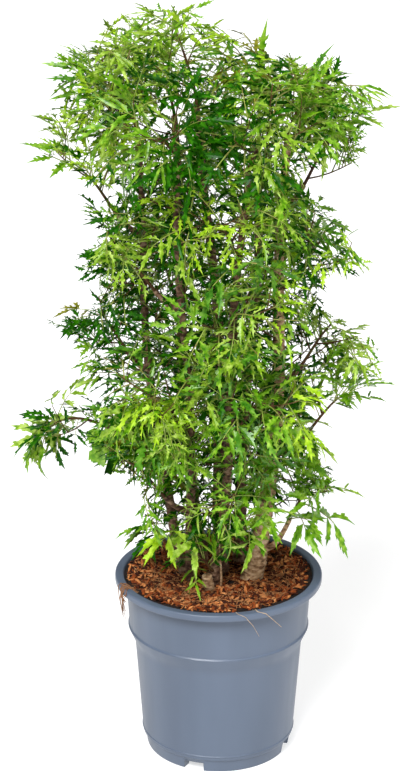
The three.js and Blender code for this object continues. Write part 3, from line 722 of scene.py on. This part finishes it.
def soil_chips(random):
    """Loose chips in three browns, with a few long strips among them."""
    for name, (share, colours) in CHIP_BROWNS.items():
        chips = Shape()
        for _ in range(CHIP_VARIANTS):
            for count, *form in CHIP_SORTS:
                lay_chips(chips, random, int(count * share / CHIP_VARIANTS), *form)
        material = mottled("chips_" + name, colours, 320, 0.9, (0.7, 0.001), specular=0.3)
        chips.piece("soil_chips_" + name, material, "soil")


def curl(random, start, heading, length):
    """A thin line that wanders over the bed from a start, first up and then down."""
    points = [np.array(start, float)]
    for i in range(FIBRE_STEPS):
        heading += random.normal(0, FIBRE_BEND)
        rise = FIBRE_LIFT * math.cos(math.pi * i / (FIBRE_STEPS - 1))
        step = np.array([math.cos(heading), math.sin(heading), rise]) * length / FIBRE_STEPS
        points.append(points[-1] + step)
    return np.array(points)


def coir(name, colours):
    return mottled(name, colours, 500, 0.85, (0.4, 0.0005))


def soil_fibres(random):
    """Coir fibres that lie on the bed."""
    fibres = Shape()
    for place in scattered_places(random, FIBRE_COUNT, SOIL_RADIUS - 8):
        heading = random.uniform(0, 2 * math.pi)
        path = curl(random, place + [0, 0, 1.5], heading, random.uniform(*FIBRE_LENGTHS))
        if np.hypot(path[:, 0], path[:, 1]).max() < SOIL_RADIUS - 2:
            fibres.add(*tube(path, np.linspace(*FIBRE_RADII, len(path)), 4))
    material = coir("coir", [(108, 60, 26), (154, 100, 56), (188, 142, 96)])
    fibres.piece("soil_fibres", material, "soil")


def over_rim(bearing, inside, drop, slant, stray, random):
    """A path from the bed over the rim at a bearing, and down by a drop, aslant below the rim."""
    rim = POT_HEIGHT + 0.7
    stations = [
        (SOIL_RADIUS - inside, SOIL_HEIGHT + 1),
        (MOUTH_RADIUS - 2, SOIL_HEIGHT + 4),
        (MOUTH_RADIUS + 2, rim),
        (POT_RADIUS - 2, rim),
        (POT_RADIUS + 0.8, POT_HEIGHT - 2),
        (POT_RADIUS + 0.9, LIP_FOOT - drop * 0.3),
        (POT_RADIUS - 1, LIP_FOOT - drop),
    ]
    path = []
    for share, (radius, height) in zip(np.linspace(0, 1, len(stations)), stations):
        angle = bearing + slant * max(0, 2 * share - 1) + random.normal(0, stray)
        path.append([radius * math.cos(angle), radius * math.sin(angle), height])
    return np.array(path)


def rim_strands(random):
    """A frayed tuft of coir over the rim at the left, and two pale fibres over it at the front right."""
    tuft = Shape()
    for _ in range(TUFT_COUNT):
        bearing = math.radians(random.uniform(*TUFT_BEARINGS))
        radius = random.uniform(*TUFT_RADII)
        start = random.uniform(*TUFT_STARTS)
        path = over_rim(bearing, start, random.uniform(*TUFT_DROPS), 0, 0.03, random)
        tuft.add(*tube(path, np.linspace(radius, radius * 0.5, len(path)), 5))
    tuft.piece("rim_tuft", coir("coir_tuft", [(96, 58, 34), (156, 112, 76)]), "soil")
    fibres = Shape()
    for bearing, drop, slant, radius in RIM_FIBRES:
        path = over_rim(math.radians(bearing), RIM_FIBRE_START, drop, math.radians(slant), 0.006, random)
        fibres.add(*tube(path, np.linspace(radius, radius * 0.6, len(path)), 4))
    fibres.piece("rim_fibres", coir("coir_pale", [(168, 140, 112), (206, 182, 154)]), "soil")


# Stems and boughs

def stem_point(name, t):
    foot, top, height, _, _, lean = STEMS[name]
    phase = list(STEMS).index(name)
    sway = STEM_SWAY * math.sin(math.pi * t)
    return np.array([
        lerp(foot[0], top[0], t**lean) + sway * math.sin(5 * t + phase),
        lerp(foot[1], top[1], t**lean) + sway * math.cos(4 * t + phase),
        lerp(STEM_FOOT, height, t),
    ])


def stem_share(name, height):
    """The share of the way up a stem at a height."""
    return (height - STEM_FOOT) / (STEMS[name][2] - STEM_FOOT)


def stem_radius(name, t):
    _, _, _, foot_radius, tip_radius, _ = STEMS[name]
    return lerp(foot_radius, tip_radius, t) * (1 + ROOT_FLARE * math.exp(-t / ROOT_FLARE_HEIGHT))


def bark_relief(random, heights):
    """Ring scars where leaves once stood, long furrows, and small knobs."""
    scars = np.cumsum(random.uniform(*SCAR_SPACING, SCAR_COUNT)) + heights[0]
    ring = np.exp(-(((heights[:, None] - scars[None]) / SCAR_WIDTH) ** 2)).max(1)
    phases = random.uniform(0, 2 * math.pi, len(FURROW_WAVES))
    drift = random.uniform(0.01, 0.03, len(FURROW_WAVES))
    knobs = random.normal(0, KNOB_DEPTH, (len(heights), KNOB_COLUMNS))

    def relief(i, angles):
        furrows = sum(
            np.sin(waves * angles + phase + slide * heights[i])
            for waves, phase, slide in zip(FURROW_WAVES, phases, drift)
        )
        scar_side = 0.6 + 0.4 * np.cos(angles - SCAR_TURN * heights[i] / SCAR_SPACING[1])
        return 1 + FURROW_DEPTH * furrows + SCAR_DEPTH * ring[i] * scar_side + knobs[i, : len(angles)]

    return relief


def bark_tube(path, radii, sides, random):
    heights = np.concatenate([[0], np.cumsum(np.linalg.norm(np.diff(path, axis=0), axis=1))])
    return tube(path, radii, sides, bark_relief(random, heights))


def limb_curve(limb):
    """The four points of a limb's curve: out of its stem's side, or up from its top, to its tip."""
    stem, at, tip, arch, _, _, _ = limb
    tip = np.array(tip, float)
    if at is None:
        outward = np.array([0.0, 0.0, 1.0])
        start = stem_point(stem, 1)
    else:
        t = stem_share(stem, at)
        centre = stem_point(stem, t)
        along = unit(stem_point(stem, t + 0.01) - centre)
        flat = 2 * math.pi / STEM_FLATS
        bearing = math.atan2(tip[1] - centre[1], tip[0] - centre[0])
        facing = (math.floor(bearing / flat) + 0.5) * flat
        level = np.array([math.cos(facing), math.sin(facing), 0.0])
        outward = unit(level - along * np.dot(level, along))
        start = centre + outward * stem_radius(stem, t) * LIMB_ROOT
    bend = start + outward * FIRST_STRETCH * np.linalg.norm(tip - start)
    crest = lerp(start, tip, CREST_SHARE) + np.array([0, 0, arch])
    return start, bend, crest, tip


def curve_path(curve, start, end, steps):
    t = np.linspace(start, end, steps)[:, None]
    a, b, c, d = (np.asarray(p, float) for p in curve)
    return a * (1 - t) ** 3 + 3 * b * t * (1 - t) ** 2 + 3 * c * t**2 * (1 - t) + d * t**3


# Colours of the bark, from its cracks to its pale patches, and their stops along the noise. The old
# bark is paler partly for its age and partly as painted light, as on a stem that stands lit.
BARK_STOPS = (0.3, 0.43, 0.55, 0.68)
BARK_TONES = {
    "young": [(44, 28, 20), (90, 64, 48), (128, 98, 76), (170, 142, 116)],
    "old": [(76, 54, 36), (146, 112, 80), (190, 156, 118), (216, 190, 158)],
}


def bark_material(tone):
    """Bark with paler bands across the stem and fine cracks along it."""
    material, tree, shader = new_material("bark_" + tone, 0.8, 0.3)
    patches = noise(tree, 150, 6.0, (1, 1, 1.8))
    add_colour(tree, shader, patches, BARK_STOPS, BARK_TONES[tone])
    add_roughness(tree, shader, patches, 0.7, 0.92)
    add_bump(tree, shader, noise(tree, 600, 4.0, (1, 1, 0.4)), 0.9, 0.0016)
    return material


def stem_pieces(barks):
    """Stems, of which the right one is the oldest, with old bark that is paler partly as painted light."""
    for index, name in enumerate(STEMS):
        material = barks["old" if name == "right" else "young"]
        random = draws("stem", index)
        shares = np.linspace(0, 1, STEM_STEPS)
        path = np.array([stem_point(name, t) for t in shares])
        radii = np.array([stem_radius(name, t) for t in shares])
        path[0, 2] -= STEM_SUNK
        stem = Shape(bark_tube(path, radii, STEM_SIDES, random))
        stem.piece("bark_stem_" + name, material, "bark", ["stem_" + name])


def bough_pieces(barks):
    """Boughs with a collar where they leave the stem. The low fork has the old bark of its stem, paler
    partly as painted light.
    """
    for index, (name, limb) in enumerate(LIMBS.items()):
        _, _, _, _, share, _, _ = limb
        if share == 0:
            continue
        random = draws("bough", index)
        t = np.linspace(0, 1, BOUGH_STEPS)
        radii = lerp(*BOUGH_RADII, t) * (1 + BOUGH_COLLAR * np.exp(-t / BOUGH_COLLAR_SHARE))
        path = curve_path(limb_curve(limb), 0, share, BOUGH_STEPS)
        bough = Shape(bark_tube(path, radii, BOUGH_SIDES, random))
        material = barks["old" if name == "lower_right" else "young"]
        bough.piece("bark_bough_" + name, material, "bark", ["bough_" + name])


def stub_piece(material):
    """The stub of an old stem, cut short, in front of the clump, and a dry twig beside it."""
    random = draws("stub")
    soil_top = np.array([0, 0, SOIL_HEIGHT])
    path = np.linspace(*(STUB_ENDS + soil_top), 24)
    stub = bark_tube(path, np.linspace(*STUB_RADII, len(path)), 16, random)
    dry_path = curve_path(DRY_TWIG_CURVE + soil_top, 0, 1, 16)
    dry_twig = bark_tube(dry_path, np.linspace(*DRY_TWIG_RADII, len(dry_path)), 8, random)
    Shape(stub, dry_twig).piece("stub", material, "bark")


# Leaves

LEAF_SPAN = 100

# Points on the edge of a leaf of the full span, from its stalk to its tip.
LEAF_EDGE = np.array([
    [30, 0, 0], [46, 34, 0], [46, -34, 0], [68, 30, 0], [68, -30, 0],
    [84, 20, 0], [84, -20, 0], [102, 0, 0],
], float)

# Kinds of leaf: leaflets as (place on the rib, angle to it in degrees, length), with a pair where the
# angle isn't 0. Then, for a leaflet's length of 1, its spread to a side, the number of lobes on a side,
# the width of a lobe and the width of the blade along its rib.
LEAF_KINDS = {
    "fine": ([(22, 78, 36), (42, 68, 40), (60, 56, 36), (66, 0, 40)], 0.14, 3, 0.08, 0.13),
    "cut": ([(26, 76, 42), (48, 62, 44), (62, 0, 46)], 0.15, 3, 0.09, 0.17),
    "lance": ([(22, 64, 36), (42, 58, 40), (60, 50, 36), (66, 0, 40)], 0.1, 2, 0.07, 0.16),
    "broad": ([(32, 74, 44), (50, 54, 46), (60, 0, 48)], 0.17, 3, 0.12, 0.25),
    "strap": ([(14, 0, 86)], 0.09, 6, 0.06, 0.1),
    "round": ([(16, 60, 46), (24, 0, 76)], 0.34, 4, 0.3, 0.56),
}
LEAF_VARIANTS = 8
LEAF_STALK_RADII = (1.4, 0.8)
DROOP_PULL = 0.35

# Leaflets for a length of 1: the lobes' angle to the rib, the stretch of rib they stand on, their range
# of reach and the share of it where they are widest, and the two shoulders of the blade.
LOBE_ANGLE = math.radians(34)
LOBE_PLACES = (0.12, 0.64)
LOBE_REACHES = (0.7, 1.2)
LOBE_WIDEST = 0.6
BLADE_SHOULDERS = (0.3, 0.68)
LEAFLET_FOLD = 0.45
LEAFLET_SIZES = (0.8, 1.15)
LEAFLET_SWEEP = 0.18
LEAFLET_DROOPS = (0.1, 0.5)


def swell(u):
    """The spread of a leaflet's lobes along its length, at most about 1."""
    return 2.2 * u**0.4 * (1 - u) ** 0.8


def leaflet_half(side, spread, lobes, lobe_width, blade_width, random):
    """One half of a flat leaflet of length 1 along x: a strip by the rib, and lobes swept to the tip."""
    half = blade_width / 2
    near, far = BLADE_SHOULDERS
    flat = [(0, 0), (near, 0), (far, 0), (1, 0), (near, half), (far, 0.8 * half)]
    triangles = [(0, 1, 4), (1, 2, 5), (1, 5, 4), (2, 3, 5)]
    forward = np.array([math.cos(LOBE_ANGLE), math.sin(LOBE_ANGLE)])
    aside = np.array([-forward[1], forward[0]]) * lobe_width / 2
    for k in range(lobes):
        u = lerp(*LOBE_PLACES, (k + random.uniform(-0.2, 0.2) + 0.2) / (lobes - 0.6))
        root = np.array([u, 0.0])
        reach = forward * spread * swell(u) / forward[1] * random.uniform(*LOBE_REACHES)
        widest = root + LOBE_WIDEST * reach
        first = len(flat)
        flat += [root, widest - aside, widest + aside, root + reach]
        triangles += [(first, first + 1, first + 2), (first + 1, first + 3, first + 2)]
    x, y = np.array(flat).T
    return np.stack([x, side * y], -1), np.array(triangles)[:, ::side]


def leaflet(length, form, sweep, droop, random):
    """A leaflet along x whose two halves fold up, swept aside and drooping."""
    blade = Shape()
    for side in (1, -1):
        flat, triangles = leaflet_half(side, *form, random)
        x, y = flat.T
        lift = LEAFLET_FOLD * np.abs(y) - droop * x**2
        blade.add(np.stack([x, y + sweep * x**2, lift], -1) * length, triangles)
    return blade.arrays()


def leaf_of_kind(kind, random):
    """A compound leaf: its blades, and the stalk and rib that carry them."""
    leaflets, *form = LEAF_KINDS[kind]
    blades = Shape()
    for place, angle, length in leaflets:
        for side in (-1, 1) if angle else (0,):
            size = length * random.uniform(*LEAFLET_SIZES)
            sweep = -LEAFLET_SWEEP * side * random.uniform(0.2, 1.8) + random.normal(0, 0.1)
            points, triangles = leaflet(size, form, sweep, random.uniform(*LEAFLET_DROOPS), random)
            heading = side * math.radians(angle + random.normal(0, 8))
            turn = frame_of(heading, random.normal(0, 0.3), random.normal(0, 0.65))
            blades.add(points @ turn.T + [place + random.uniform(-3, 3) * abs(side), 0, 0], triangles)
    x = np.linspace(-0.6, leaflets[-1][0] + 1, 6)
    stalk = tube(np.stack([x, 0 * x, 0 * x], -1), np.linspace(*LEAF_STALK_RADII, 6), 3)
    return blades.arrays(), stalk


def leaf_kinds():
    """A few variants of each kind of leaf."""
    random = draws("leaf")
    return {kind: [leaf_of_kind(kind, random) for _ in range(LEAF_VARIANTS)] for kind in LEAF_KINDS}


def placed(points, rows):
    """Copies of a leaf's points: each grows from its root along its direction, face to the sky."""
    roots, along, lengths, droops, banks = (np.array(column) for column in zip(*rows))
    side = unit(np.cross((0, 0, 1.0), along))
    face = np.cross(along, side)
    c, s = np.cos(banks)[:, None], np.sin(banks)[:, None]
    turns = np.stack([along, side * c + face * s, face * c - side * s], -1)
    bent = np.repeat(points[None], len(rows), 0)
    x = np.clip(bent[..., 0], 0, None)
    bent[..., 2] -= droops[:, None] * x**2 / LEAF_SPAN
    bent[..., 0] -= DROOP_PULL * droops[:, None] ** 2 * x**3 / LEAF_SPAN**2
    size = (lengths / LEAF_SPAN)[:, None, None]
    return np.einsum("nij,npj->npi", turns, bent) * size + roots[:, None]


def within_outline(points):
    """Whether all points, as the eye sees them, are inside the crown's outline."""
    share = EYE[1] / (EYE[1] - points[:, 1:2])
    x, z = lerp(EYE[[0, 2]], points[:, [0, 2]], share).T
    (ax, az), (bx, bz) = OUTLINE.T[..., None], np.roll(OUTLINE, -1, axis=0).T[..., None]
    spans = (az > z) != (bz > z)
    edge = ax + (z - az) * (bx - ax) / np.where(bz == az, 1, bz - az)
    return bool(np.all((spans & (x < edge)).sum(0) % 2 == 1))


def bent_twig(start, direction, length):
    """A twig that sets out in a direction and turns up a little."""
    t = np.linspace(0, 1, 5)[:, None]
    return start + direction * length * t + np.array([0, 0, TWIG_UPTURN * length]) * t**2


class Mass:
    """The space, sprays and random draws of one mass of leaves."""

    def __init__(self, random, middle, leaf, style):
        self.random = random
        self.middle = middle
        self.leaf = leaf
        self.reach = leaf * SPACE_REACH
        self.tints, self.kinds, self.side_twigs = STYLES[style]

    def spray(self, tip):
        """A kind of leaf and a tint for a twig's spray, darker inside the crown as painted shade."""
        outer = np.linalg.norm((tip - CROWN_MIDDLE) / CROWN_REACH)
        light = np.clip(self.random.uniform() + LIGHT_SLOPE * (outer - EVEN_LIGHT), 0, 0.999)
        tint = list(LEAF_TINTS)[int(np.searchsorted(np.cumsum(self.tints), light))]
        return str(self.random.choice(list(self.kinds), p=list(self.kinds.values()))), tint


class Crown:
    """The leaves and twigs of all masses, dealt out by kind and tint."""

    def __init__(self):
        self.kinds = leaf_kinds()
        self.leaves = {}
        self.twigs = Shape()
        self.low = (np.array(cad_low) - POT_AXIS) / MM
        self.high = (np.array(cad_high) - POT_AXIS) / MM

    def room(self, points, mass):
        """Whether points are above the pot, near a mass's middle, in the solids' box and the outline."""
        if points[:, 2].min() < LOWEST_LEAF:
            return False
        if np.linalg.norm(points - mass.middle, axis=1).max() > mass.reach:
            return False
        if np.any(points < self.low) or np.any(points > self.high):
            return False
        return within_outline(points)

    def put_leaf(self, kind, tint, row, random):
        variant = int(random.integers(LEAF_VARIANTS))
        self.leaves.setdefault((kind, variant, tint), []).append(row)

    def try_leaf(self, place, along, angle, k, mass, spray):
        """A leaf on a twig, the longest of a few tries that has room."""
        random = mass.random
        for attempt in range(TRIES):
            roll = (k + attempt) * GOLDEN_ANGLE + random.uniform()
            share = lerp(LONGEST_LEAF, SHORTEST_LEAF, attempt / TRIES)
            length = mass.leaf * share * random.uniform(0.9, 1.05)
            direction = direction_off(along, angle * random.uniform(0.7, 1.3), roll)
            droop = random.uniform(*LEAF_DROOPS)
            row = (place, direction, length, droop, random.normal(0, LEAF_BANK))
            if self.room(placed(LEAF_EDGE, [row])[0], mass):
                self.put_leaf(*spray, row, random)
                return True
        return False

    def grow_twig(self, path, level, mass, spray):
        """A limb's own twig, or a side twig as far as its last leaf, or nothing where none has room."""
        radii, leaf_count, side_count, side_length = TWIGS[level]
        random = mass.random
        ends = []
        for k in range(leaf_count):
            share = lerp(BARE_TWIG, LAST_LEAF, (k + 1) / leaf_count)
            place, along = station(path, share)
            angle = LEAF_ANGLE / 3 if k + 1 == leaf_count else LEAF_ANGLE
            if self.try_leaf(place, along, angle, k, mass, spray):
                ends.append(share)
        side_count = mass.side_twigs if side_count is None else side_count
        for k in range(side_count):
            share = (k + 1) / (side_count + 1)
            place, along = station(path, share)
            direction = direction_off(along, SIDE_TWIG_ANGLE, k * GOLDEN_ANGLE + random.uniform())
            side = bent_twig(place, direction, side_length * random.uniform(0.8, 1.2))
            if self.room(side[2:], mass) and self.grow_twig(side, level + 1, mass, mass.spray(side[-1])):
                ends.append(share)
        if level == 0:
            ends.append(1)
        if ends:
            drawn = np.array([station(path, share)[0] for share in np.linspace(0, max(ends), len(path))])
            self.twigs.add(*tube(drawn, np.linspace(*radii, len(path)), 5))
        return bool(ends)

    def grow_limb(self, index, limb):
        """The mass on a limb, whose twig goes on from the bough."""
        _, _, _, _, bough_share, leaf, style = limb
        curve = limb_curve(limb)
        middle = curve_path(curve, lerp(bough_share, 1, MASS_MIDDLE), 1, 2)[0]
        twig = curve_path(curve, max(bough_share - TWIG_OVERLAP, 0), 1, TWIG_STEPS)
        mass = Mass(draws("mass", index), middle, leaf, style)
        self.grow_twig(twig, 0, mass, mass.spray(twig[-1]))

    def grow_stem_twigs(self, index, stem):
        """Short twigs round a stem, inside the crown."""
        random = draws("stem_twig", index)
        for k, height in enumerate(np.arange(STEM_TWIG_LOWEST, STEMS[stem][2], STEM_TWIG_STEP)):
            t = stem_share(stem, height + random.uniform(-8, 8))
            heading = math.degrees(k * GOLDEN_ANGLE) + index * STEM_TWIG_TURN + random.uniform(-20, 20)
            direction = direction_to(heading, random.uniform(*STEM_TWIG_PITCHES))
            root = stem_point(stem, t) + direction * stem_radius(stem, t) * 0.7
            twig = bent_twig(root, direction, STEM_TWIG_LENGTH * random.uniform(0.7, 1.2))
            own = draws("stem_mass", SEEDS_OF_A_STEM * index + k)
            mass = Mass(own, twig[-1], STEM_TWIG_LEAF, "inner")
            self.grow_twig(twig, 1, mass, mass.spray(twig[-1]))

    def grow_single_leaves(self):
        """Leaves placed one by one, which need no room."""
        random = draws("single")
        for carrier, *leaves in SINGLE_LEAVES:
            for kind, tint, at, heading, pitch, length, droop in leaves:
                if carrier in STEMS:
                    t = stem_share(carrier, at)
                    outward = direction_to(heading, 0)
                    root = stem_point(carrier, t) + outward * stem_radius(carrier, t) * 0.9
                else:
                    root = curve_path(limb_curve(LIMBS[carrier]), at, 1, 2)[0]
                row = (root, direction_to(heading, pitch), length, droop, 0)
                self.put_leaf(kind, tint, row, random)

    def pieces(self):
        nodes = ["leaves_" + name for name in LIMBS]
        blades, stalks = {}, Shape()
        for (kind, variant, tint), rows in self.leaves.items():
            (blade_points, blade_triangles), (stalk_points, stalk_triangles) = self.kinds[kind][variant]
            blades.setdefault(tint, Shape()).add_copies(placed(blade_points, rows), blade_triangles)
            stalks.add_copies(placed(stalk_points, rows), stalk_triangles)
        for tint, shape in blades.items():
            shape.piece("leaves_" + tint + "_blades", leaf_material(tint), "leaf", nodes)
        stalk = mottled("leaf_stalk", STALK_COLOURS, 60, 0.5, (0.2, 0.0004))
        stalks.piece("leaf_stalks", stalk, "leaf", nodes)
        twig = mottled("twig", TWIG_COLOURS, 90, 0.7, (0.5, 0.0008), specular=0.2)
        self.twigs.piece("twigs", twig, "leaf", nodes)


# Stage

def make_floor():
    corners = [(x * FLOOR_REACH, y * FLOOR_REACH, 0) for x, y in [(-1, -1), (1, -1), (1, 1), (-1, 1)]]
    mesh = bpy.data.meshes.new("floor")
    mesh.from_pydata(corners, [], [(0, 1, 2, 3)])
    floor = new_object("floor", mesh)
    material, _, shader = new_material("floor", 0.8, 0.2)
    grey = (FLOOR_GREY, FLOOR_GREY, FLOOR_GREY, 1)
    set_inputs(shader, {"Base Color": grey, "Emission Color": WHITE, "Emission Strength": FLOOR_GLOW})
    mesh.materials.append(material)


def add_sun(name, heading, height, spread, strength):
    """A far light. Only the key shows in the gloss of the leaves and the pot."""
    light = bpy.data.lights.new(name, "SUN")
    light.angle = math.radians(spread)
    light.energy = strength
    lamp = new_object(name, light)
    lamp.visible_glossy = name == "key"
    lamp.rotation_euler = Vector(-direction_to(heading, height)).to_track_quat("-Z", "Y").to_euler()


def make_studio():
    make_floor()
    world = bpy.data.worlds.new("studio")
    world.use_nodes = True
    background = world.node_tree.nodes["Background"]
    set_inputs(background, {"Color": WHITE, "Strength": WORLD_STRENGTH})
    bpy.context.scene.world = world
    bpy.context.scene.view_settings.view_transform = "Standard"
    for name, light in LIGHTS.items():
        add_sun(name, *light)


def make_camera():
    camera = bpy.data.cameras.new("camera")
    camera.sensor_width = SENSOR
    camera.lens = FOCAL_PIXELS * SENSOR / LONG_SIDE_PIXELS
    holder = new_object("camera", camera)
    holder.location = EYE * MM + POT_AXIS
    holder.rotation_euler = (math.pi / 2 - CAMERA_PITCH, 0, 0)
    bpy.context.scene.camera = holder


def make_plant():
    random = draws("soil")
    pot_piece()
    soil_bed(random)
    soil_chips(random)
    soil_fibres(random)
    rim_strands(random)
    barks = {tone: bark_material(tone) for tone in BARK_TONES}
    stem_pieces(barks)
    bough_pieces(barks)
    stub_piece(barks["old"])
    crown = Crown()
    for index, limb in enumerate(LIMBS.values()):
        crown.grow_limb(index, limb)
    for index, stem in enumerate(STEMS):
        crown.grow_stem_twigs(index, stem)
    crown.grow_single_leaves()
    crown.pieces()


make_plant()
make_studio()
make_camera()
